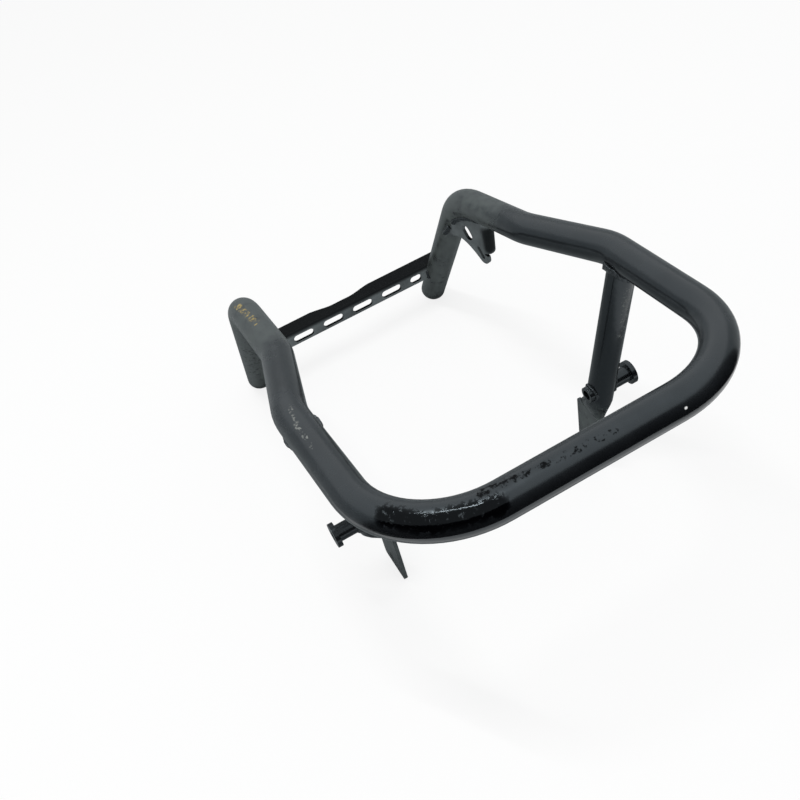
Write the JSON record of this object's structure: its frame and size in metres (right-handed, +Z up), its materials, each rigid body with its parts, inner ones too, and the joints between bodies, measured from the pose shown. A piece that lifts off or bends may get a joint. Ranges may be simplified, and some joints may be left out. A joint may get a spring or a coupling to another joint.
{
  "type": "quad bike front bumper",
  "caption": "Welded tube front bumper for a quad bike: a bent loop on sloping rear legs and flattened front struts, with pegs, gussets and a slotted cross plate.",
  "frame": {"origin": "middle of the box at floor level, as the bumper stands on its rear feet and strut tabs", "axes": "+X to the bumper's right as seen from in front facing back along +Y, the loop's front bar toward -Y, +Z up"},
  "size_m": [0.2898, 0.5065, 0.2286],
  "materials": {
    "tube_paint": "worn semi-gloss black paint on steel tube, faded grey on top with rubbed patches and small chips",
    "bracket_paint": "semi-gloss black paint on pressed steel sheet",
    "peg_paint": "thick black paint on turned steel, rubbed at the flange rim",
    "weld_paint": "black paint over rippled weld metal"
  },
  "bodies": {
    "root": {"main_loop_tube": "tube_paint", "cross_plate": "bracket_paint", "left_strut_tube": "tube_paint", "right_strut_tube": "tube_paint", "left_peg_bush": "peg_paint", "right_peg_bush": "peg_paint", "left_gusset_bracket": "bracket_paint", "right_gusset_bracket": "bracket_paint", "left_strut_weld": "weld_paint", "right_strut_weld": "weld_paint", "left_peg_outer_weld": "weld_paint", "right_peg_outer_weld": "weld_paint", "left_peg_inner_weld": "weld_paint", "right_peg_inner_weld": "weld_paint", "left_gusset_leg_weld": "weld_paint", "right_gusset_leg_weld": "weld_paint", "left_gusset_tube_weld": "weld_paint", "right_gusset_tube_weld": "weld_paint", "left_plate_weld": "weld_paint", "right_plate_weld": "weld_paint"}
  },
  "joints": []
}
